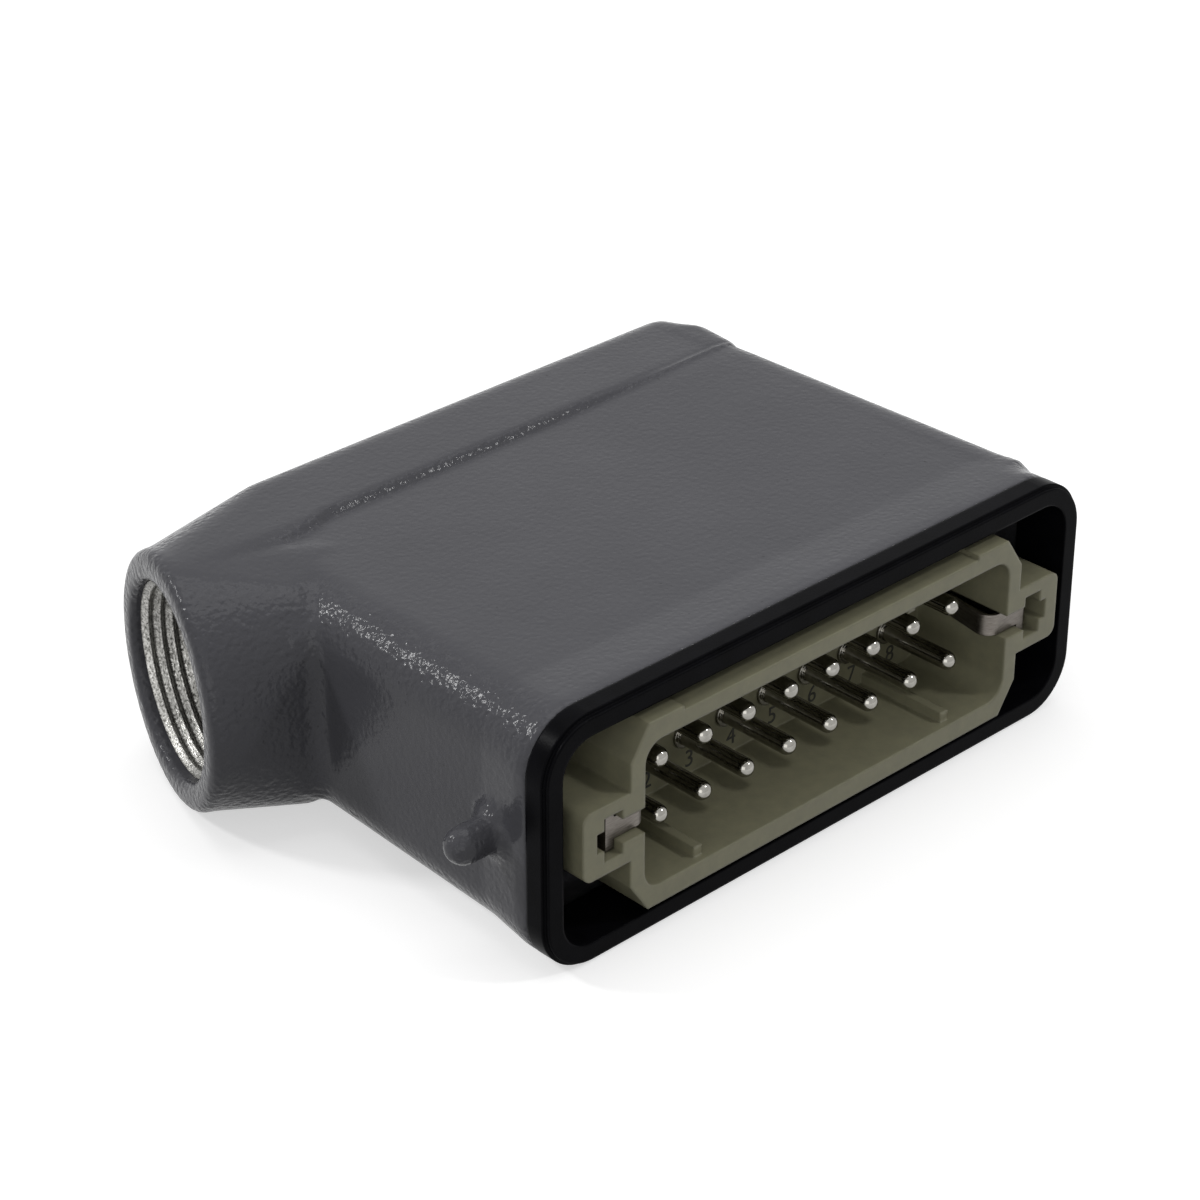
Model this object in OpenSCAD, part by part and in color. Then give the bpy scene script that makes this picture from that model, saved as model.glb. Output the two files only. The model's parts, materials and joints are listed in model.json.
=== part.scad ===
// Heavy duty rectangular connector: side-entry hood with a 16-pole male contact insert.
// The hood lies on a broad face. X runs along the mouth, the mouth opens towards -Y, Z is up.

/* [Contacts] */
// Contacts in each row
columns = 8; // [4:1:10]
// Distance between neighbouring contacts in a row
pitch = 6.45; // [6.2:0.05:7.5]
// Distance between the two rows
row_gap = 6.96; // [6.7:0.02:9]
// Diameter of a contact pin
pin_d = 2.2; // [1.6:0.1:2.6]
// How far the pin tips stay behind the front of the shroud
tip_setback = 2.7; // [1:0.1:5]
// Side of the square wire block behind each pin
block_w = 4.7; // [4:0.1:5]
// Length of the wire block
block_l = 10.5; // [8:0.5:14]
// Diameter of the wire hole in the block
wire_d = 2.8; // [2:0.1:3.2]
// Thread diameter of the wire clamp screws
clamp_screw_d = 2.5; // [2:0.1:3]

/* [Insert] */
// From the outer contacts to the end walls of the shroud
end_margin = 5.5; // [4:0.1:8]
// From a contact row to the long walls of the shroud
side_margin = 5.37; // [4:0.01:8]
// Thickness of the shroud's end walls
shroud_end_wall = 2; // [1.5:0.1:3]
// Thickness of the shroud's long walls
shroud_side_wall = 2.35; // [1.5:0.05:3]
// Depth of the shroud, from its front to the floor
shroud_depth = 12.9; // [10:0.1:20]
// How far the shroud stands out of the seal
shroud_proud = 0.9; // [0:0.1:3]
// Chamfer of the shroud's corners along X
chamfer_x = 2.5; // [1:0.1:4]
// Chamfer of the shroud's corners along Z
chamfer_z = 3.8; // [1:0.1:5]
// How far the end lugs reach past the shroud
lug_l = 6.6; // [6:0.1:9]
// Height of the end lugs
lug_h = 8.2; // [7.2:0.1:9]
// Thickness of the flange
flange_t = 3; // [2:0.1:5]
// From the floor of the shroud back to the flange's front
flange_setback = 1; // [0:0.1:3]
// Length of the rear body behind the flange
rear_l = 17; // [15:0.5:24]
// From the shroud's side planes out to the fixing screws
fixing_offset = 2.9; // [2.8:0.1:3.4]
// From the flange's long edges in to the fixing screws
fixing_edge = 3.6; // [3.2:0.1:4.5]
// Thread diameter of the fixing screws
fixing_screw_d = 3; // [2.5:0.1:3]

/* [Hood] */
// Gap between the flange's ends and the hood
flange_gap = 0.2; // [0.1:0.05:1]
// Wall of the hood
hood_wall = 1.8; // [1.5:0.1:3]
// Wall of the rim round the mouth
rim_wall = 1.9; // [1.5:0.1:2.6]
// Corner radius of the rim
rim_corner = 6.5; // [4:0.5:8]
// Depth of the hood, from its rim to its back
hood_depth = 61.7; // [58:0.1:80]
// Length of the flared stretch behind the rim
flare_l = 7.6; // [5:0.1:12]
// Length of the straight stretch behind the seal
rim_land = 1.6; // [1:0.1:3]
// How much the flare widens each end
flare_end = 1; // [0.2:0.1:2]
// How much the flare widens each broad face
flare_face = 0.6; // [0.2:0.1:1.5]
// Draft of each end over the body's depth
draft_end = 1.3; // [0.3:0.1:2]
// Draft of each broad face over the body's depth
draft_face = 0.5; // [0.1:0.1:1]
// Rounding of the edges at the back
back_round = 4.5; // [2:0.5:6]
// Length of the raised band along the back
band_l = 13.5; // [11:0.5:20]
// How far the band and the boss stay under the rim
band_relief = 0.1; // [0:0.05:0.6]
// Wall of the screw posts in the hood
post_wall = 1.4; // [1:0.1:2]
// Thickness of the webs that carry the posts
web_t = 2.5; // [1.5:0.1:3]

/* [Cable entry] */
// Nominal diameter of the entry thread
entry_d = 22.5; // [16:0.5:25]
// Length of the entry thread
entry_thread_l = 12; // [8:0.5:14]
// Angle of the entry towards the back
entry_tilt = 17.7; // [0:0.1:20]
// From the rim's end to the middle of the entry's face
entry_reach = 5.9; // [5:0.1:12]
// From the back of the hood to the middle of the entry's face
entry_setback = 10.4; // [9:0.1:14]
// Rounding of the boss's outer edge
entry_round = 1.2; // [0.5:0.1:2]
// Rounding of the boss's long edges where it leaves the hood
root_round = 7; // [5:0.5:8]
// Fillet in the corner between the boss and the hood's end
corner_fillet = 2.5; // [1:0.1:4]

/* [Locking pegs] */
// Diameter of a locking peg
peg_d = 4.2; // [3:0.1:6]
// How far a peg stands out past the rim's end
peg_reach = 5.6; // [3:0.1:8]
// From the rim to the axis of the pegs
peg_setback = 5.5; // [3.5:0.1:7]
// Width of the flat land round the root of a peg
peg_land_w = 0.9; // [0.5:0.1:1.2]
// How far that land stands out past the rim's end
peg_land_h = 0.1; // [0.05:0.05:0.5]

/* [Seal] */
// Thickness of the seal in front of the rim
seal_t = 2.9; // [1.5:0.1:4]
// Thickness of the seal's skirt inside the rim
skirt_t = 0.5; // [0.3:0.1:1]
// Length of the seal's skirt
skirt_l = 4; // [2:0.5:6]

/* [Ground contacts] */
// Thickness of the spring sheet
spring_t = 0.4; // [0.2:0.05:0.6]
// Thickness of the ground plates
plate_t = 1.2; // [0.8:0.1:2]
// Height of the spring's wide head
spring_head_h = 5; // [4:0.1:5.4]
// Height of the spring's tongue
tongue_h = 2.6; // [2:0.1:3]
// How far the tongue bows into the shroud
tongue_bow = 1.5; // [0.5:0.1:2]

/* [Hidden] */
$fn = 64;
eps = 0.01;

// Insert sizes
pin_span = (columns - 1) * pitch;
cavity_l = pin_span + 2 * end_margin;
cavity_h = row_gap + 2 * side_margin;
shroud_l = cavity_l + 2 * shroud_end_wall;
shroud_h = cavity_h + 2 * shroud_side_wall;
flange_l = shroud_l + 2 * lug_l;
flange_h = shroud_h + 0.9;
shroud_front = -shroud_proud;
floor_y = shroud_front + shroud_depth;
flange_y = floor_y + flange_setback;
flange_back = flange_y + flange_t;
rear_y = flange_back + rear_l;
fixing_x = shroud_l / 2 + fixing_offset;
fixing_z = flange_h / 2 - fixing_edge;
insert_corner = 1.2;

// Contact sizes
tip_y = shroud_front + tip_setback;
collar_d = pin_d + 0.9;
block_y = rear_y - block_l - 1;
chamber_w = block_w + 0.4;
clamp_head_d = clamp_screw_d + 1.1;
clamp_head_h = 1.5;

// Hood sizes
rim_y = seal_t;
back_y = rim_y + hood_depth;
body_y = rim_y + flare_l;
cave_l = flange_l + 2 * flange_gap;
cave_h = flange_h + 2 * 0.3;
back_l = cave_l + 2 * hood_wall;
back_h = cave_h + 2 * hood_wall;
body_l = back_l + 2 * draft_end;
body_h = back_h + 2 * draft_face;
rim_l = body_l + 2 * flare_end;
rim_h = body_h + 2 * flare_face;
mouth_l = rim_l - 2 * rim_wall;
mouth_h = rim_h - 2 * rim_wall;
mouth_corner = rim_corner - rim_wall;
body_corner = rim_corner - 0.8;
band_y = back_y - band_l;
band_h = rim_h - 2 * band_relief;
post_l = 13;
post_y = flange_back + plate_t;

// Entry sizes
boss_d = band_h;
entry_x = -rim_l / 2 - entry_reach;
entry_y = back_y - entry_setback;
boss_tip_l = entry_round + 1;
root_x = -back_l / 2;
root_front = entry_y - boss_d / 2 - 2.1;
band_x = -back_l / 2 + 11;
// The angle of the boss's wall, and the corner where it meets the hood's end
corner_angle = atan2(entry_y - boss_tip_l * sin(entry_tilt) - boss_d / 2 * cos(entry_tilt)
    - root_front, root_x - entry_x - boss_tip_l * cos(entry_tilt) + boss_d / 2 * sin(entry_tilt));
corner_x = -back_l / 2 - draft_end * (band_y - root_front) / (band_y - body_y);
corner_y = root_front + (root_x - corner_x) * tan(corner_angle);

// Ground contact sizes
slot_in = shroud_l / 2 + 1.1;
slot_out = slot_in + 2.6;
slot_notch = 1;
slot_h = spring_head_h + 0.3;
tongue_gap_h = tongue_h + 0.4;
spring_x = slot_in + 1.3;
spring_y = shroud_front + 1.2;
plate_in = shroud_l / 2 + 0.4;
plate_out = flange_l / 2 - 0.3;
tab_l = 10;
ground_screw_d = 3;
ground_head_d = ground_screw_d + 2.4;
ground_head_h = 2;
ground_shank_l = 4;
screw_grip_l = 7;
washer_t = 0.5;

// Frame: the middle of the bounding box, with the lowest point at zero
far_left = entry_x - entry_round * (1 - cos(entry_tilt))
    - (boss_d / 2 - entry_round) * sin(entry_tilt);
far_right = rim_l / 2 + peg_reach;
far_back = max(back_y, entry_y + entry_round * (1 - sin(entry_tilt))
    + (boss_d / 2 - entry_round) * cos(entry_tilt));
far_front = min(shroud_front, 0);
middle = [(far_left + far_right) / 2, (far_front + far_back) / 2, -max(rim_h, boss_d) / 2];

PIN_NODES = ["contact_pin_01", "contact_pin_02", "contact_pin_03", "contact_pin_04",
    "contact_pin_05", "contact_pin_06", "contact_pin_07", "contact_pin_08",
    "contact_pin_09", "contact_pin_10", "contact_pin_11", "contact_pin_12",
    "contact_pin_13", "contact_pin_14", "contact_pin_15", "contact_pin_16"];

HOOD_GREY = [0.36, 0.36, 0.37];
SEAL_BLACK = [0.1, 0.1, 0.11];
INSERT_BEIGE = [0.55, 0.54, 0.46];
SILVER = [0.8, 0.8, 0.82];
STEEL = [0.62, 0.62, 0.64];

// Everything is drawn about the mouth's middle, then moved to the frame's origin
module placed() {
    translate(-middle) children();
}

// Runs a flat shape, drawn in X and Z, along +Y from y0 for a length
module along_y(y0, length) {
    translate([0, y0 + length, 0])
        rotate([90, 0, 0])
            linear_extrude(length) children();
}

// A solid drawn upwards from the origin, turned to point along +Y
module towards_back(x, y, z) {
    translate([x, y, z]) rotate([-90, 0, 0]) children();
}

module rounded(l, h, r) {
    square([l - 2 * r, h], center = true);
    square([l, h - 2 * r], center = true);
    for (sx = [-1, 1], sz = [-1, 1])
        translate([sx * (l / 2 - r), sz * (h / 2 - r)]) circle(r);
}

module chamfered(l, h, cx, cz) {
    polygon([[-l / 2, -h / 2 + cz], [-l / 2 + cx, -h / 2], [l / 2 - cx, -h / 2],
        [l / 2, -h / 2 + cz], [l / 2, h / 2 - cz], [l / 2 - cx, h / 2],
        [-l / 2 + cx, h / 2], [-l / 2, h / 2 - cz]]);
}

// The four fixing screw places
module at_fixings() {
    for (sx = [-1, 1], sz = [-1, 1])
        translate([sx * fixing_x, 0, sz * fixing_z]) children();
}

// ---- Hood ----

module hood_body() {
    hull() {
        along_y(body_y, eps) rounded(body_l, body_h, body_corner, $fn = 48);
        along_y(band_y + 1, eps) rounded(back_l, back_h, body_corner + 0.4, $fn = 48);
    }
}

// The band's section seen along X, standing at x with a thickness t
module band_section(x, t) {
    translate([x, 0, 0]) rotate([90, 0, 90]) linear_extrude(t) {
        translate([band_y, -band_h / 2]) square([band_l - back_round, band_h]);
        translate([band_y, -band_h / 2 + back_round]) square([band_l, band_h - 2 * back_round]);
        for (s = [-1, 1]) translate([back_y - back_round, s * (band_h / 2 - back_round)])
            circle(back_round, $fn = 32);
    }
}

module rear_band() {
    hull() {
        band_section(band_x, 1);
        for (s = [-1, 1]) {
            translate([back_l / 2 - back_round, back_y - back_round, s * (band_h / 2 - back_round)])
                rotate([90, 0, 0]) sphere(back_round, $fn = 32);
            translate([back_l / 2 - body_corner, band_y, s * (band_h / 2 - body_corner)])
                rotate([-90, 0, 0]) cylinder(h = 1, r = body_corner, $fn = 48);
        }
    }
}

module hood_flare() {
    hull() {
        along_y(body_y, eps) rounded(body_l, body_h, body_corner, $fn = 48);
        along_y(rim_y + rim_land, eps) rounded(rim_l, rim_h, rim_corner, $fn = 48);
    }
    along_y(rim_y, rim_land + eps) rounded(rim_l, rim_h, rim_corner);
}

// Places children on the entry's axis, pointing outwards along +Z
module on_entry_axis() {
    translate([entry_x, entry_y, 0])
        rotate([0, 0, 180 - entry_tilt])
            rotate([0, 90, 0]) children();
}

module entry_boss() {
    on_entry_axis() {
        translate([0, 0, -boss_tip_l]) cylinder(h = boss_tip_l - entry_round, d = boss_d);
        translate([0, 0, -boss_tip_l]) cylinder(h = boss_tip_l, d = boss_d - 2 * entry_round);
        translate([0, 0, -entry_round])
            rotate_extrude() translate([boss_d / 2 - entry_round, 0]) circle(entry_round);
    }
    hull() {
        boss_end();
        for (x = [root_x, band_x])
            translate([x, (root_front + band_y) / 2, 0])
                rotate([0, 90, 0]) linear_extrude(0.5)
                    rounded(back_h, band_y - root_front, root_round, $fn = 48);
    }
    hull() {
        boss_end();
        band_section(band_x, 1);
    }
    boss_fillet();
}

// The boss's end as its hulls see it, a hair inside the turned one
module boss_end() {
    on_entry_axis() translate([0, 0, -boss_tip_l]) cylinder(h = 0.5, d = boss_d - 0.06);
}

// Fills the corner at the boss's foot. Its face is hollow, and its ends roll over
// into the faces above and below as the edges beside it do.
module boss_fillet() {
    reach = corner_fillet * tan(45 - corner_angle / 2);
    axis_x = corner_x - corner_fillet;
    axis_y = corner_y - reach;
    end_x = corner_x - reach * cos(corner_angle);
    end_y = corner_y + reach * sin(corner_angle);
    top = back_h / 2;
    difference() {
        translate([0, 0, -top]) linear_extrude(2 * top)
            polygon([[corner_x + 0.8, axis_y], [axis_x, axis_y], [end_x, end_y],
                [end_x, end_y + 0.8], [corner_x + 0.8, corner_y + 0.8]]);
        translate([axis_x, axis_y, 0]) rotate_extrude() fillet_air(top);
    }
}

// Half section of the air beside the fillet, from its axis outwards
module fillet_air(top) {
    side = top - root_round;
    difference() {
        translate([0, -top - 1]) square([corner_fillet + root_round, 2 * top + 2]);
        translate([corner_fillet, -side]) square([root_round + 1, 2 * side]);
        for (s = [-1, 1]) translate([corner_fillet + root_round, s * side]) circle(root_round);
    }
}

module locking_peg() {
    for (s = [-1, 1])
        translate([0, rim_y + peg_setback, 0]) rotate([0, s * 90, 0]) {
            cylinder(h = rim_l / 2 + peg_land_h, d = peg_d + 2 * peg_land_w);
            cylinder(h = rim_l / 2 + peg_reach - peg_d / 2, d = peg_d);
            translate([0, 0, rim_l / 2 + peg_reach - peg_d / 2]) sphere(d = peg_d);
        }
}

// Each post stands in a corner of the hood, on two webs that end inside its wall
module fixing_posts() {
    web_x = back_l / 2 - hood_wall / 2 - fixing_x;
    web_z = back_h / 2 - hood_wall / 2 - fixing_z;
    at_fixings() towards_back(0, post_y, 0)
        cylinder(h = post_l, r = fixing_screw_d / 2 + post_wall);
    for (sx = [-1, 1], sz = [-1, 1])
        translate([sx * fixing_x, post_y, sz * fixing_z]) {
            translate([sx > 0 ? 0 : -web_x, 0, -web_t / 2]) cube([web_x, post_l, web_t]);
            translate([-web_t / 2, 0, sz > 0 ? 0 : -web_z]) cube([web_t, post_l, web_z]);
        }
}

module hood_shell() {
    color(HOOD_GREY) placed() difference() {
        union() {
            difference() {
                union() {
                    hood_body();
                    hood_flare();
                    rear_band();
                    entry_boss();
                    locking_peg();
                }
                along_y(rim_y - 1, band_y - rim_y + 1)
                    rounded(cave_l, cave_h, mouth_corner - 0.4);
                translate([(cave_l / 2 + band_x) / 2, 0, 0])
                    along_y(band_y - 1, band_l + 1 - hood_wall)
                        rounded(cave_l / 2 - band_x, cave_h, mouth_corner - 0.4);
                along_y(rim_y - 1, flare_l + 1) rounded(mouth_l, mouth_h, mouth_corner);
            }
            fixing_posts();
        }
        at_fixings() towards_back(0, flange_back, 0)
            cylinder(h = plate_t + post_l - 1.5, d = fixing_screw_d);
        on_entry_axis() {
            translate([0, 0, -entry_thread_l]) cylinder(h = entry_thread_l + 1, d = entry_d);
            translate([0, 0, -entry_thread_l - 22]) cylinder(h = 23, d = entry_d - 3);
            translate([0, 0, -0.4])
                cylinder(h = 1.4, d1 = entry_d, d2 = entry_d + 2.8);
        }
    }
}

// ---- Seal ----

module mouth_seal() {
    inner_l = mouth_l - 2 * skirt_t;
    inner_h = mouth_h - 2 * skirt_t;
    color(SEAL_BLACK) placed() difference() {
        union() {
            along_y(0.6, seal_t - 0.6) rounded(rim_l, rim_h, rim_corner);
            along_y(0, seal_t) rounded(rim_l - 0.8, rim_h - 0.8, rim_corner - 0.4);
            along_y(seal_t, skirt_l) rounded(mouth_l, mouth_h, mouth_corner);
        }
        along_y(-1, seal_t + skirt_l + 2) rounded(inner_l, inner_h, mouth_corner - skirt_t);
    }
}

// ---- Contact insert ----

module contact_places() {
    for (c = [0 : columns - 1], s = [-1, 1])
        translate([(c - (columns - 1) / 2) * pitch, 0, s * row_gap / 2]) children();
}

module insert_outline() {
    chamfered(shroud_l, shroud_h, chamfer_x, chamfer_z);
    rounded(flange_l, lug_h, insert_corner);
}

// The cross-shaped slot in an end lug, and its way into the shroud
module lug_slot() {
    for (s = [-1, 1]) scale([s, 1]) {
        translate([slot_in, -slot_h / 2]) square([slot_out - slot_in, slot_h]);
        translate([slot_in, -slot_h / 4.4]) square([slot_out - slot_in + slot_notch, slot_h / 2.2]);
    }
}

module shroud_ribs() {
    rib_x = pitch * (columns / 2 - 1);
    for (s = [-1, 1])
        translate([s * rib_x - 0.6, shroud_front + 1, -cavity_h / 2 - 0.5])
            cube([1.2, shroud_depth - 0.5, 1.7]);
    translate([rib_x - pitch - 0.6, shroud_front + 1, cavity_h / 2 - 1.2])
        cube([1.2, shroud_depth - 0.5, 1.7]);
}

module contact_insert() {
    color(INSERT_BEIGE) placed() difference() {
        union() {
            difference() {
                along_y(shroud_front, flange_y + eps - shroud_front) insert_outline();
                along_y(shroud_front - 1, shroud_depth + 1) rounded(cavity_l, cavity_h, 2.4);
                translate([-pin_span / 2, shroud_front - 1, shroud_h / 2 - 0.5])
                    cube([pin_span, shroud_depth, 2]);
            }
            shroud_ribs();
            along_y(flange_y, flange_t) rounded(flange_l, flange_h, insert_corner);
            along_y(flange_back - eps, rear_l + eps)
                chamfered(shroud_l - 1.4, shroud_h - 1.2, 1.5, 1.5);
        }
        along_y(shroud_front - 1, flange_back - shroud_front + 2) lug_slot();
        for (s = [-1, 1])
            translate([s > 0 ? cavity_l / 2 - 1 : -slot_in - 1, shroud_front - 1, -tongue_gap_h / 2])
                cube([slot_in - cavity_l / 2 + 2, shroud_depth, tongue_gap_h]);
        at_fixings() towards_back(0, flange_y - 1, 0)
            cylinder(h = flange_t + 2, d = fixing_screw_d + 0.4);
        contact_places() {
            towards_back(0, floor_y - 1, 0) cylinder(h = rear_y, d = collar_d + 0.04);
            translate([-chamber_w / 2, block_y, -chamber_w / 2])
                cube([chamber_w, rear_l, chamber_w]);
        }
        for (c = [0 : columns - 1], s = [-1, 1])
            translate([(c - (columns - 1) / 2) * pitch, block_y + block_l / 2, s * row_gap / 2])
                rotate([s > 0 ? 0 : 180, 0, 0])
                    cylinder(h = shroud_h, d = clamp_head_d + 0.4);
    }
}

// ---- Contacts ----

// One turned contact: round-nosed pin, collar in the floor, square wire block behind
module contact(i) {
    x = (i % columns - (columns - 1) / 2) * pitch;
    s = i < columns ? -1 : 1;
    color(SILVER) placed() translate([x, 0, s * row_gap / 2]) difference() {
        union() {
            translate([0, tip_y + pin_d / 2, 0]) sphere(d = pin_d);
            towards_back(0, tip_y + pin_d / 2, 0) cylinder(h = block_y - tip_y, d = pin_d);
            towards_back(0, floor_y - 0.3, 0) cylinder(h = block_y - floor_y + 1, d = collar_d);
            translate([-block_w / 2, block_y, -block_w / 2])
                cube([block_w, block_l, block_w]);
        }
        towards_back(0, block_y + 1.5, 0) cylinder(h = block_l, d = wire_d);
        translate([0, block_y + block_l / 2, 0])
            rotate([s > 0 ? 0 : 180, 0, 0]) cylinder(h = block_w, d = clamp_screw_d + 0.1);
    }
}

module terminal_screws() {
    color(STEEL) placed()
        for (c = [0 : columns - 1], s = [-1, 1])
            translate([(c - (columns - 1) / 2) * pitch, block_y + block_l / 2, s * row_gap / 2])
                rotate([s > 0 ? 0 : 180, 0, 0]) translate([0, 0, block_w / 2])
                    difference() {
                        union() {
                            cylinder(h = clamp_head_h, d = clamp_head_d);
                            translate([0, 0, -1]) cylinder(h = 1.5, d = clamp_screw_d);
                        }
                        translate([-clamp_head_d, -0.3, clamp_head_h - 0.6])
                            cube([2 * clamp_head_d, 0.6, 1]);
                    }
}

// ---- Ground contacts ----

// Sector of a ring in the plane, from angle a to angle b
module ring_sector(r, t, a, b) {
    steps = 16;
    difference() {
        circle(r);
        circle(r - t);
        polygon(concat([[0, 0]], [for (k = [0 : steps])
            2 * r * [cos(b + (360 + a - b) * k / steps), sin(b + (360 + a - b) * k / steps)]]));
    }
}

// The spring's outline seen along Z: leg, front bend and the tongue's bow
module spring_tongue() {
    nose_r = 1.6;
    nose_x = cavity_l / 2 - tongue_bow + nose_r;
    translate([nose_x - eps, spring_y]) square([spring_x - nose_x + eps, spring_t]);
    translate([nose_x, spring_y + nose_r]) ring_sector(nose_r, spring_t, 170, 270);
    translate([nose_x, spring_y + nose_r]) rotate(-10)
        translate([-nose_r, -eps]) square([spring_t, 5]);
}

module ground_spring(s) {
    color(STEEL) placed() scale([s, 1, 1]) {
        translate([0, 0, -tongue_h / 2]) linear_extrude(tongue_h) spring_tongue();
        translate([slot_in + 0.15, spring_y, -spring_head_h / 2])
            cube([spring_x - slot_in - 0.15, spring_t, spring_head_h]);
        translate([spring_x - spring_t, spring_y, -spring_head_h / 2])
            cube([spring_t, flange_back - spring_y, spring_head_h]);
    }
}

module ground_plate(s) {
    color(STEEL) placed() scale([s, 1, 1]) difference() {
        union() {
            translate([plate_in, flange_back, -flange_h / 2 + 0.6])
                cube([plate_out - plate_in, plate_t, flange_h - 1.2]);
            translate([plate_in, flange_back, -plate_t / 2])
                cube([plate_out - plate_in, tab_l, plate_t]);
        }
        for (sz = [-1, 1])
            towards_back(fixing_x, flange_back - 1, sz * fixing_z)
                cylinder(h = plate_t + 2, d = fixing_screw_d + 0.4);
        translate([(plate_in + plate_out) / 2, flange_back + tab_l / 2 + 0.6, -plate_t])
            cylinder(h = 2 * plate_t, d = ground_screw_d + 0.1);
    }
}

module ground_screws() {
    color(STEEL) placed()
        for (s = [-1, 1])
            translate([s * (plate_in + plate_out) / 2, flange_back + tab_l / 2 + 0.6, plate_t / 2])
                difference() {
                    union() {
                        cylinder(h = ground_head_h, d = ground_head_d);
                        translate([0, 0, -ground_shank_l])
                            cylinder(h = ground_shank_l + 1, d = ground_screw_d);
                    }
                    translate([-ground_head_d, -0.4, ground_head_h - 0.8])
                        cube([2 * ground_head_d, 0.8, 1]);
                }
}

// ---- Fixings ----

module insert_screws() {
    color(STEEL) placed()
        at_fixings() towards_back(0, flange_y - washer_t, 0)
            difference() {
                union() {
                    translate([0, 0, -1.9]) cylinder(h = 1.9, d = fixing_screw_d + 2.2);
                    cylinder(h = washer_t + flange_t + plate_t + screw_grip_l,
                        d = fixing_screw_d - 0.1);
                }
                for (a = [0, 90]) rotate(a)
                    translate([-1.4, -0.35, -2.5]) cube([2.8, 0.7, 1.8]);
            }
}

module screw_washers() {
    color(STEEL) placed()
        at_fixings() towards_back(0, flange_y - washer_t, 0)
            difference() {
                cylinder(h = washer_t, d = fixing_screw_d + 2.6);
                translate([0, 0, -1]) cylinder(h = 2.5, d = fixing_screw_d + 0.3);
            }
}

hood_shell();
mouth_seal();
contact_insert();
for (i = [0 : len(PIN_NODES) - 1])
    contact(i);
terminal_screws();
ground_spring(-1);  // ground_spring_left
ground_spring(1);  // ground_spring_right
ground_plate(-1);  // ground_plate_left
ground_plate(1);  // ground_plate_right
ground_screws();
insert_screws();
screw_washers();
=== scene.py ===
"""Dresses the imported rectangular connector: its materials, the casting under its paint, the
entry thread, the numbers beside the contacts, a plain studio and the camera."""
import json
import math

import bmesh
import bpy
from mathutils import Matrix, Vector


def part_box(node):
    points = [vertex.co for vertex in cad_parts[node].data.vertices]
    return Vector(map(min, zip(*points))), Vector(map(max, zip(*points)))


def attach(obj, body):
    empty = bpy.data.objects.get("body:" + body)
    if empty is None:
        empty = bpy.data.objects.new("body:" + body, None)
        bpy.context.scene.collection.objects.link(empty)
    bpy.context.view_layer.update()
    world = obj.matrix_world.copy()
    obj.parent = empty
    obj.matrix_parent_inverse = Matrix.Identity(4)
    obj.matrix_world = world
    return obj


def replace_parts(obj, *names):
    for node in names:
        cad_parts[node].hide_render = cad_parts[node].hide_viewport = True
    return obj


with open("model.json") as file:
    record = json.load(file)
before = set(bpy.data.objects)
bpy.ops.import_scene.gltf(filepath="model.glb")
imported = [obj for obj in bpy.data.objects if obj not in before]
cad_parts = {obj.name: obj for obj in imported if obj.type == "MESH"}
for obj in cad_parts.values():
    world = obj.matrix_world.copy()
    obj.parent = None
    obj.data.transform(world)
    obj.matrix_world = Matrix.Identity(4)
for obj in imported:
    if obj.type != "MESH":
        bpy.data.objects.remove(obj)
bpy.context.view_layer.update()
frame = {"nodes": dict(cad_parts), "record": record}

MM = 0.001
NODES = frame["nodes"]

# Sizes in millimetres
SHROUD_DEPTH = 12.9
ENTRY_HALF_LENGTH = 6.2
BAND_DEPTH = 51.2
NUMBER_HEIGHT = 2.1


# ---- Places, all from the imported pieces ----

seal_low, seal_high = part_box("mouth_seal")
mouth = Vector(((seal_low.x + seal_high.x) / 2, seal_low.y, (seal_low.z + seal_high.z) / 2))
mounts = {m["name"]: m for m in frame["record"]["mounts"]}
entry_axis = Vector(mounts["cable_entry"]["axis"]).normalized()
entry_middle = Vector(mounts["cable_entry"]["pos_m"])


# ---- Material nodes ----

def linear(hex_colour):
    """An sRGB hex colour as linear RGBA."""
    parts = [int(hex_colour[i:i + 2], 16) / 255 for i in (1, 3, 5)]
    return [c / 12.92 if c <= 0.04045 else ((c + 0.055) / 1.055) ** 2.4 for c in parts] + [1.0]


def add(tree, kind, settings=None, values=None, links=None):
    """Adds a node with its settings, the values of its inputs and the outputs that feed it."""
    node = tree.nodes.new("ShaderNode" + kind)
    for name, setting in (settings or {}).items():
        setattr(node, name, setting)
    for name, value in (values or {}).items():
        node.inputs[name].default_value = value
    for name, output in (links or {}).items():
        tree.links.new(output, node.inputs[name])
    return node


def start_material(name):
    """A new material with a shader, an output and Object coordinates."""
    material = bpy.data.materials.new(name)
    material.use_nodes = True
    tree = material.node_tree
    tree.nodes.clear()
    shader = add(tree, "BsdfPrincipled")
    add(tree, "OutputMaterial", links={"Surface": shader.outputs["BSDF"]})
    place = add(tree, "TexCoord").outputs["Object"]
    return material, tree, shader, place


def shade(shader, **values):
    """Sets inputs of a shader by their names, with _ for a space."""
    for name, value in values.items():
        shader.inputs[name.replace("_", " ")].default_value = value


def noise(tree, place, size_mm, detail=2.0, roughness=0.5):
    """Noise whose grains measure about size_mm."""
    return add(tree, "TexNoise", values={"Scale": 1 / (size_mm * MM), "Detail": detail,
               "Roughness": roughness}, links={"Vector": place}).outputs["Fac"]


def ramp(tree, factor, *stops):
    """A colour ramp through (position, colour) stops."""
    node = add(tree, "ValToRGB", links={"Fac": factor})
    elements = node.color_ramp.elements
    while len(elements) < len(stops):
        elements.new(0.5)
    for element, (position, colour) in zip(elements, stops):
        element.position = position
        element.color = colour
    return node.outputs["Color"]


def grey(value):
    """A linear grey."""
    return (value, value, value, 1.0)


def soft_edges(tree, radius_mm):
    """Normals that round every sharp edge by a radius."""
    return add(tree, "Bevel", {"samples": 8}, {"Radius": radius_mm * MM}).outputs["Normal"]


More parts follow.
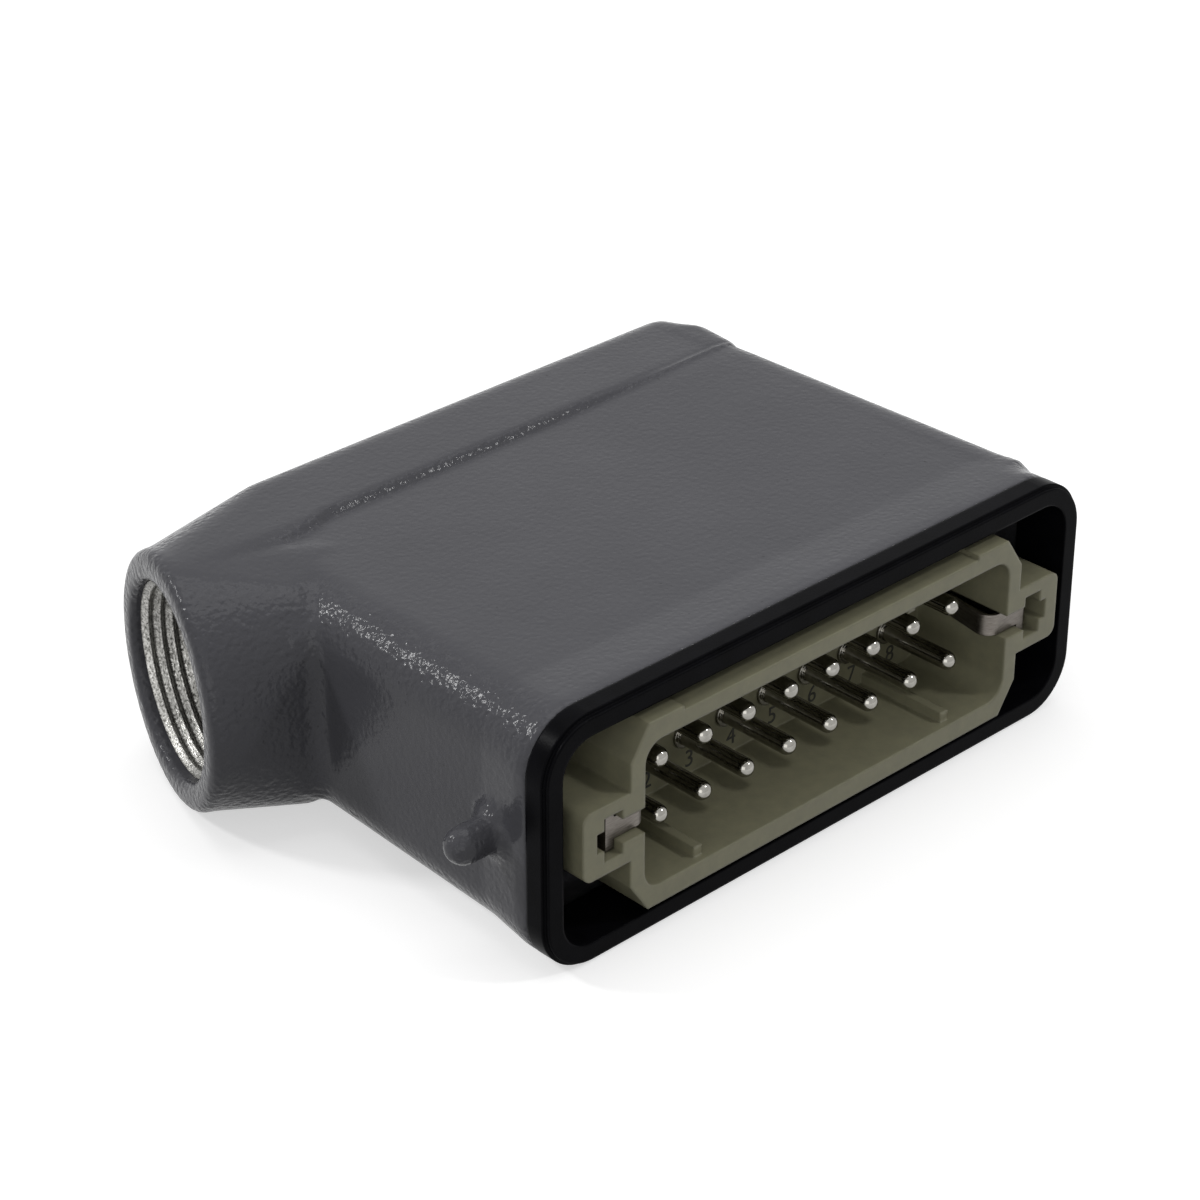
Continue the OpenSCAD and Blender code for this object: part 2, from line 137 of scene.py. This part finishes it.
def bump(tree, height, depth_mm, normal):
    """Normals of a relief depth_mm deep, laid over other normals."""
    return add(tree, "Bump", values={"Strength": 1.0, "Distance": depth_mm * MM},
               links={"Height": height, "Normal": normal}).outputs["Normal"]


# ---- Finishes ----

def powder_coated_aluminium():
    """Die-cast aluminium under thick polyester powder coat: it flows into a glossy orange
    peel of 0.7 mm dimples, which breaks each highlight into sparks."""
    material, tree, shader, place = start_material("powder_coated_die_cast_aluminium")
    tone = noise(tree, place, 9.0, 3.0)
    specks = noise(tree, place, 0.9, 1.0)
    cloudy = ramp(tree, tone, (0.3, linear("#47474B")), (0.7, linear("#4A4A4E")))
    specked = add(tree, "MixRGB", {"blend_type": "MULTIPLY"}, {"Fac": 1.0}, {
        "Color1": cloudy,
        "Color2": ramp(tree, specks, (0.16, grey(0.55)), (0.22, grey(1.0)))}).outputs["Color"]
    tree.links.new(specked, shader.inputs["Base Color"])
    shade(shader, Metallic=0.0, Roughness=0.18, IOR=1.5)
    shader.inputs["Specular IOR Level"].default_value = 0.12
    dimple_mm, wave_mm, peel_depth_mm = 0.7, 0.6, 0.11
    cells = add(tree, "TexVoronoi", {"feature": "SMOOTH_F1"},
                {"Scale": 1 / (dimple_mm * MM), "Smoothness": 1.0, "Randomness": 1.0},
                {"Vector": place}).outputs["Distance"]
    waves = noise(tree, place, wave_mm, 1.0)
    peel = add(tree, "Math", {"operation": "ADD"}, links={0: cells, 1: waves}).outputs[0]
    # The coat lies nearly flat on flat walls and gathers into its peel on the rounds
    steep = add(tree, "VectorMath", {"operation": "ABSOLUTE"},
                links={0: add(tree, "NewGeometry").outputs["Normal"]}).outputs["Vector"]
    parts = add(tree, "SeparateXYZ", links={"Vector": steep}).outputs
    flat = add(tree, "Math", {"operation": "MAXIMUM"}, links={0: parts["X"], 1: parts["Y"]})
    flat = add(tree, "Math", {"operation": "MAXIMUM"}, links={0: flat.outputs[0], 1: parts["Z"]})
    gather = add(tree, "MapRange", {"interpolation_type": "SMOOTHSTEP"}, {
        "From Min": 0.93, "From Max": 1.0, "To Min": 1.0, "To Max": 0.28},
        {"Value": flat.outputs[0]}).outputs["Result"]
    height = add(tree, "Math", {"operation": "MULTIPLY"}, links={0: peel, 1: gather}).outputs[0]
    normal = bump(tree, height, peel_depth_mm, soft_edges(tree, 0.3))
    tree.links.new(normal, shader.inputs["Normal"])
    return material


def nitrile_rubber():
    """Moulded black nitrile rubber: nearly black, satin, with a faint bloom."""
    material, tree, shader, place = start_material("moulded_nitrile_rubber")
    bloom = noise(tree, place, 3.0, 4.0)
    tree.links.new(ramp(tree, bloom, (0.35, linear("#08080A")), (0.75, linear("#0D0D10"))),
                   shader.inputs["Base Color"])
    shade(shader, Roughness=0.3, IOR=1.5)
    shader.inputs["Specular IOR Level"].default_value = 0.02
    tree.links.new(bump(tree, noise(tree, place, 0.25, 2.0), 0.012, soft_edges(tree, 0.35)),
                   shader.inputs["Normal"])
    return material


def glass_filled_thermoplastic():
    """Injection-moulded glass-filled polycarbonate in pebble grey: satin, faintly mottled
    where the fibres come to the surface, with soft moulded edges."""
    material, tree, shader, place = start_material("moulded_glass_filled_polycarbonate")
    mottle = noise(tree, place, 1.6, 5.0, 0.6)
    tree.links.new(ramp(tree, mottle, (0.3, linear("#767460")), (0.7, linear("#7F7D66"))),
                   shader.inputs["Base Color"])
    shade(shader, Roughness=0.38, IOR=1.55)
    shader.inputs["Specular IOR Level"].default_value = 0.25
    tree.links.new(bump(tree, noise(tree, place, 0.3, 2.0), 0.01, soft_edges(tree, 0.45)),
                   shader.inputs["Normal"])
    return material


def silver_plating():
    """Turned brass contacts with silver plating, a little dulled, over fine turning marks."""
    material, tree, shader, place = start_material("silver_plated_brass")
    haze = noise(tree, place, 0.7, 3.0)
    tree.links.new(ramp(tree, haze, (0.3, linear("#8E8C86")), (0.7, linear("#A09E98"))),
                   shader.inputs["Base Color"])
    tree.links.new(ramp(tree, haze, (0.35, grey(0.09)), (0.8, grey(0.17))),
                   shader.inputs["Roughness"])
    shade(shader, Metallic=1.0)
    # At a scale of 1 a wave repeats every 2 pi / 20, so here there is a mark every 0.75 mm
    rings = add(tree, "TexWave", {"wave_type": "BANDS", "bands_direction": "Y"},
                {"Scale": 1 / (20 * 0.12 * MM), "Distortion": 0.6}, {"Vector": place})
    tree.links.new(bump(tree, rings.outputs["Fac"], 0.0008, soft_edges(tree, 0.15)),
                   shader.inputs["Normal"])
    return material


def tinned_bronze():
    """Rolled and stamped tinned bronze sheet: satin brownish grey with long rolling marks."""
    material, tree, shader, place = start_material("tinned_bronze_sheet")
    stretched = add(tree, "Mapping", values={"Scale": (1.0, 1.0, 9.0)}, links={"Vector": place})
    marks = noise(tree, stretched.outputs["Vector"], 1.1, 4.0, 0.65)
    tree.links.new(ramp(tree, marks, (0.3, linear("#5F5A55")), (0.75, linear("#85807A"))),
                   shader.inputs["Base Color"])
    tree.links.new(ramp(tree, marks, (0.3, grey(0.3)), (0.75, grey(0.46))),
                   shader.inputs["Roughness"])
    shade(shader, Metallic=1.0)
    tree.links.new(bump(tree, marks, 0.004, soft_edges(tree, 0.15)), shader.inputs["Normal"])
    return material


def zinc_plated_steel():
    """Zinc-plated steel: bright grey with a cloudy crystalline patchwork."""
    material, tree, shader, place = start_material("zinc_plated_steel")
    cloud = noise(tree, place, 1.3, 4.0)
    tree.links.new(ramp(tree, cloud, (0.3, linear("#A3A5A6")), (0.7, linear("#C2C4C6"))),
                   shader.inputs["Base Color"])
    tree.links.new(ramp(tree, cloud, (0.3, grey(0.22)), (0.75, grey(0.38))),
                   shader.inputs["Roughness"])
    shade(shader, Metallic=1.0)
    tree.links.new(soft_edges(tree, 0.2), shader.inputs["Normal"])
    return material


def cut_aluminium():
    """Bare cast aluminium where the thread is cut: bright, torn into fine pits by the tap. The
    pits are painted dark as shade.
    """
    material, tree, shader, place = start_material("tapped_bare_aluminium")
    pits_and_painted_pit_shade = noise(tree, place, 0.32, 4.0, 0.7)
    # The same noise sinks the pits and paints them dark: painted shade in the pits, beside the
    # bright bare metal
    tree.links.new(ramp(tree, pits_and_painted_pit_shade, (0.34, linear("#3A3935")), (0.52, linear("#A9A8A4")),
                        (0.75, linear("#D9D8D5"))), shader.inputs["Base Color"])
    tree.links.new(ramp(tree, pits_and_painted_pit_shade, (0.35, grey(0.5)), (0.7, grey(0.16))),
                   shader.inputs["Roughness"])
    shade(shader, Metallic=1.0)
    tree.links.new(bump(tree, pits_and_painted_pit_shade, 0.07, soft_edges(tree, 0.1)), shader.inputs["Normal"])
    return material


def marking_ink():
    """Dark grey pad-printing ink, a little worn."""
    material, tree, shader, place = start_material("dark_pad_printing_ink")
    wear = noise(tree, place, 0.4, 3.0)
    tree.links.new(ramp(tree, wear, (0.3, linear("#22231F")), (0.8, linear("#34342C"))),
                   shader.inputs["Base Color"])
    shade(shader, Roughness=0.55)
    return material


FINISHES = {
    "hood_shell": powder_coated_aluminium(),
    "mouth_seal": nitrile_rubber(),
    "contact_insert": glass_filled_thermoplastic(),
    "contact_pin": silver_plating(),
    "ground_spring": tinned_bronze(),
    "ground_plate": tinned_bronze(),
    "ground_screws": zinc_plated_steel(),
    "terminal_screws": zinc_plated_steel(),
    "insert_screws": zinc_plated_steel(),
    "screw_washers": zinc_plated_steel(),
}
for node_name, node in NODES.items():
    finish = next(f for start, f in FINISHES.items() if node_name.startswith(start))
    node.data.materials.clear()
    node.data.materials.append(finish)


# ---- Pieces of the scene ----

def piece(name, mesh, finish):
    """Makes a mesh, already in its place, a finished piece of the connector."""
    mesh.materials.clear()
    mesh.materials.append(finish)
    made = show(name, mesh)
    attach(made, "root")
    return made


def show(name, data):
    """A new object in the scene."""
    made = bpy.data.objects.new(name, data)
    bpy.context.scene.collection.objects.link(made)
    return made


def to_mesh(name, bm):
    """Ends a bmesh as a mesh."""
    mesh = bpy.data.meshes.new(name)
    bm.to_mesh(mesh)
    bm.free()
    return mesh


def entry_frame():
    """A frame whose Z runs out of the entry, with its origin on the entry's face."""
    z = entry_axis
    y = Vector((0, 0, 1))
    x = y.cross(z).normalized()
    turn = Matrix((x, y, z)).transposed().to_4x4()
    turn.translation = entry_middle + z * ENTRY_HALF_LENGTH * MM
    return turn


def entry_thread(finish):
    """The ridge of the entry thread: 18 to the inch with rounded crests, cut 11 mm deep."""
    pitch = 25.4 / 18
    root_r, crest_r = 11.2, 10.55
    flank_r = crest_r + 0.08
    rise_z, start_z, end_z = -0.5, -0.45, -11.6
    steps, turns = 72, 8
    bm = bmesh.new()
    # One turn's profile from root to root; neighbouring turns share their roots
    profile = [(0.0, root_r), (0.2, root_r - 0.02), (0.5, flank_r), (0.62, crest_r),
               (0.79, crest_r), (0.91, flank_r), (1.21, root_r - 0.02)]
    points = [(rise_z - pitch * turns + pitch * k + z, r)
              for k in range(turns) for z, r in profile] + [(rise_z, root_r)]
    verts = [bm.verts.new((r * MM, 0, z * MM)) for z, r in points]
    edges = [bm.edges.new(pair) for pair in zip(verts, verts[1:])]
    bmesh.ops.spin(bm, geom=verts + edges, cent=(0, 0, 0), axis=(0, 0, 1),
                   angle=2 * math.pi, steps=steps, dvec=(0, 0, -pitch * MM / steps),
                   use_merge=False)
    bmesh.ops.remove_doubles(bm, verts=bm.verts, dist=0.0005 * MM)
    # Keeps the ridge behind the chamfer and in front of the thread's end
    for z, side in ((start_z, 1), (end_z, -1)):
        bmesh.ops.bisect_plane(bm, geom=bm.verts[:] + bm.edges[:] + bm.faces[:],
                               plane_co=(0, 0, z * MM), plane_no=(0, 0, side),
                               clear_outer=True)
    # The faces look inwards, to the axis
    bmesh.ops.recalc_face_normals(bm, faces=bm.faces)
    outward = 0.0
    for face in bm.faces:
        face.smooth = True
        centre = face.calc_center_median()
        outward += face.normal.dot(Vector((centre.x, centre.y, 0)))
    if outward > 0:
        bmesh.ops.reverse_faces(bm, faces=bm.faces)
    mesh = to_mesh("entry_thread", bm)
    mesh.transform(entry_frame())
    piece("entry_thread", mesh, finish)


def printed_number(name, number, place):
    """The mesh of a plain printed number that stands in the X-Z plane."""
    text = bpy.data.curves.new(name, "FONT")
    text.body = str(number)
    digit_share = 0.7
    text.size = NUMBER_HEIGHT / digit_share * MM
    text.align_x = "CENTER"
    text.align_y = "CENTER"
    text.extrude = 0.02 * MM
    text.resolution_u = 4
    made = show(name, text)
    bpy.context.view_layer.update()
    mesh = bpy.data.meshes.new_from_object(made)
    bpy.data.objects.remove(made)
    mesh.transform(Matrix.Translation(place) @ Matrix.Rotation(math.pi / 2, 4, "X"))
    return mesh


def contact_numbers(finish):
    """Numbers 1 to 16, each beside its contact on the floor of the shroud."""
    contacts, columns = 16, 8
    aside, outside, ink = 0.9 * MM, 3.5 * MM, 0.015 * MM
    floor_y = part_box("contact_insert")[0].y + SHROUD_DEPTH * MM
    for number in range(1, contacts + 1):
        low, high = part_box("contact_pin_%02d" % number)
        side = -1 if number <= columns else 1
        place = ((low.x + high.x) / 2 + aside, floor_y - ink,
                 (low.z + high.z) / 2 + side * outside)
        name = "number_%02d" % number
        piece(name, printed_number(name, number, place), finish)


def smooth_step(start, end, value):
    """0 before start, 1 after end and an even turn between, for a start on either side."""
    t = min(max((value - start) / (end - start), 0.0), 1.0)
    return t * t * (3 - 2 * t)


def fill_out_hood(mesh):
    """Gives the casting its fuller far end: there the broad faces rise until the rear band's
    step runs out, and the long edges turn on a tighter round than beside the entry."""
    corner, skin, rise_height = 6.0, 1.0, 0.95
    hood_low, hood_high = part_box("hood_shell")
    half_height = (hood_high.z - hood_low.z) / 2 / MM
    places = [(vert, *((vert.co - mouth) / MM)) for vert in mesh.vertices]
    # The reach of the end wall and of the broad faces, at each millimetre of depth y
    ends, faces = {}, {}
    for vert, x, y, z in places:
        if 5 < abs(z) < 8 and x > 30:
            ends[round(y)] = max(x, ends.get(round(y), 0))
        if 20 < x < 30:
            faces[round(y)] = max(abs(z), faces.get(round(y), 0))
    for vert, x, y, z in places:
        if x < 0 or y < 5 or round(y) not in ends or round(y) not in faces:
            continue
        # The place past the axis of the round edge
        u = x - (ends[round(y)] - corner)
        w = abs(z) - (faces[round(y)] - corner)
        if w <= 0:
            continue
        reach = math.hypot(max(u, 0), w)
        outer = 1 - smooth_step(skin, 1.5 * skin, corner - reach)
        if outer == 0:
            continue
        half = abs(z)
        # Squares the round edge: its arc becomes a superellipse of the fourth power
        if u > 0:
            squared = ((u / reach) ** 4 + (w / reach) ** 4) ** -0.25
            along = smooth_step(5, 8, y) * (1 - smooth_step(56, 61, y))
            push = (squared - 1) * outer * along
            x += u * push
            half += w * push
        # Raises the broad face towards the far end and the band
        rise = rise_height * smooth_step(5, 38, x) * min(max((y - 4) / 44, 0), 1)
        rise *= outer * (1 - smooth_step(BAND_DEPTH - 0.5, BAND_DEPTH + 0.3, y))
        half = min(half + rise * smooth_step(0, corner, w), half_height)
        vert.co = mouth + Vector((x, y, math.copysign(half, z))) * MM


def cast_hood(finish):
    """The hood with the flow of a casting under thick paint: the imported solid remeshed, then
    eased so that its edges soften and its lofted faces run smooth."""
    bm = bmesh.new()
    bm.from_mesh(NODES["hood_shell"].data)
    bmesh.ops.remove_doubles(bm, verts=bm.verts, dist=0.0001 * MM)
    draft = show("hood_draft", to_mesh("hood_draft", bm))
    remesh = draft.modifiers.new("even", "REMESH")
    remesh.mode = "VOXEL"
    remesh.voxel_size = 0.45 * MM
    ease = draft.modifiers.new("ease", "SMOOTH")
    ease.factor = 0.5
    ease.iterations = 4
    thin = draft.modifiers.new("thin", "DECIMATE")
    thin.ratio = 0.5
    eased = draft.evaluated_get(bpy.context.evaluated_depsgraph_get())
    mesh = bpy.data.meshes.new_from_object(eased)
    bpy.data.objects.remove(draft)
    mesh.name = "painted_hood"
    fill_out_hood(mesh)
    mesh.shade_smooth()
    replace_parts(piece("painted_hood", mesh, finish), "hood_shell")


cast_hood(FINISHES["hood_shell"])
entry_thread(cut_aluminium())
contact_numbers(marking_ink())


# ---- Studio ----

def shown_rays(tree):
    """1 on rays from the camera, in reflections and through glass, and 0 on rays of light."""
    path = add(tree, "LightPath").outputs
    shown = path["Is Camera Ray"]
    for kind in ("Is Glossy Ray", "Is Transmission Ray"):
        shown = add(tree, "Math", {"operation": "ADD", "use_clamp": True},
                    links={0: shown, 1: path[kind]}).outputs[0]
    return shown


def white_floor():
    """A white floor that shows the shadow softly. It lights the connector as grey paper would."""
    material = bpy.data.materials.new("white_studio_floor")
    material.use_nodes = True
    tree = material.node_tree
    tree.nodes.clear()
    shown = shown_rays(tree)
    colour = add(tree, "MixRGB", values={"Color1": linear("#808080"), "Color2": linear("#D0D0D0")},
                 links={"Fac": shown}).outputs["Color"]
    matt = add(tree, "BsdfDiffuse", links={"Color": colour}).outputs["BSDF"]
    veil = add(tree, "Math", {"operation": "MULTIPLY"}, {1: 0.55}, {0: shown}).outputs[0]
    glow = add(tree, "Emission", values={"Color": linear("#FFFFFF")},
               links={"Strength": veil}).outputs["Emission"]
    both = add(tree, "AddShader", links={0: matt, 1: glow}).outputs["Shader"]
    add(tree, "OutputMaterial", links={"Surface": both})
    return material


def floor():
    """A plain floor, a hair under the connector."""
    half_width, gap = 6.0, 0.02 * MM
    bm = bmesh.new()
    bmesh.ops.create_grid(bm, x_segments=1, y_segments=1, size=half_width)
    mesh = to_mesh("floor", bm)
    mesh.transform(Matrix.Translation((0, 0, -gap)))
    mesh.materials.append(white_floor())
    show("floor", mesh)


def white_world(dim):
    """White to the camera and in reflections, dim as a light."""
    world = bpy.data.worlds.new("studio")
    bpy.context.scene.world = world
    world.use_nodes = True
    tree = world.node_tree
    tree.nodes.clear()
    strength = add(tree, "MapRange", values={"To Min": dim, "To Max": 1.0},
                   links={"Value": shown_rays(tree)}).outputs["Result"]
    ground = add(tree, "Background", values={"Color": linear("#FFFFFF")},
                 links={"Strength": strength})
    add(tree, "OutputWorld", links={"Surface": ground.outputs["Background"]})


def lamp(name, direction, distance, size, level):
    """A square lamp turned to the connector, its distance and size in metres. At a level
    of 1 a white face turned to it shows as white."""
    light = bpy.data.lights.new(name, "AREA")
    light.size = size
    light.energy = level * math.pi ** 2 * distance ** 2
    middle = Vector((0, 0, 15 * MM))
    away = Vector(direction).normalized()
    turn = away.to_track_quat("Z", "Y").to_matrix().to_4x4()
    show(name, light).matrix_world = Matrix.Translation(middle + away * distance) @ turn


def camera():
    """The view from the left of the mouth and above: 30 degrees down, 44 degrees round."""
    up, round_ = math.radians(29.62), math.radians(-43.62)
    back = Vector((math.sin(round_) * math.cos(up), -math.cos(round_) * math.cos(up),
                   math.sin(up)))
    right = Vector((math.cos(round_), math.sin(round_), 0))
    turn = Matrix((right, back.cross(right), back)).transposed().to_4x4()
    turn.translation = Vector((mouth.x - 226.76 * MM, mouth.y - 202.77 * MM, 201.5 * MM))
    data = bpy.data.cameras.new("camera")
    data.sensor_width = 36
    data.lens = 100.28
    data.clip_start = 0.01
    made = show("camera", data)
    made.matrix_world = turn
    bpy.context.scene.camera = made


floor()
white_world(0.38)
lamp("overhead", (0.1, 0.15, 1.0), 3.0, 2.4, 0.36)
lamp("left_fill", (-0.8, -0.52, 0.25), 3.0, 2.0, 0.2)
lamp("front_spark", (0.45, -0.52, 0.68), 3.0, 0.30, 0.2)
lamp("back_spark", (-0.49, 0.63, 0.60), 3.0, 0.40, 0.3)
camera()
bpy.context.scene.view_settings.view_transform = "Standard"
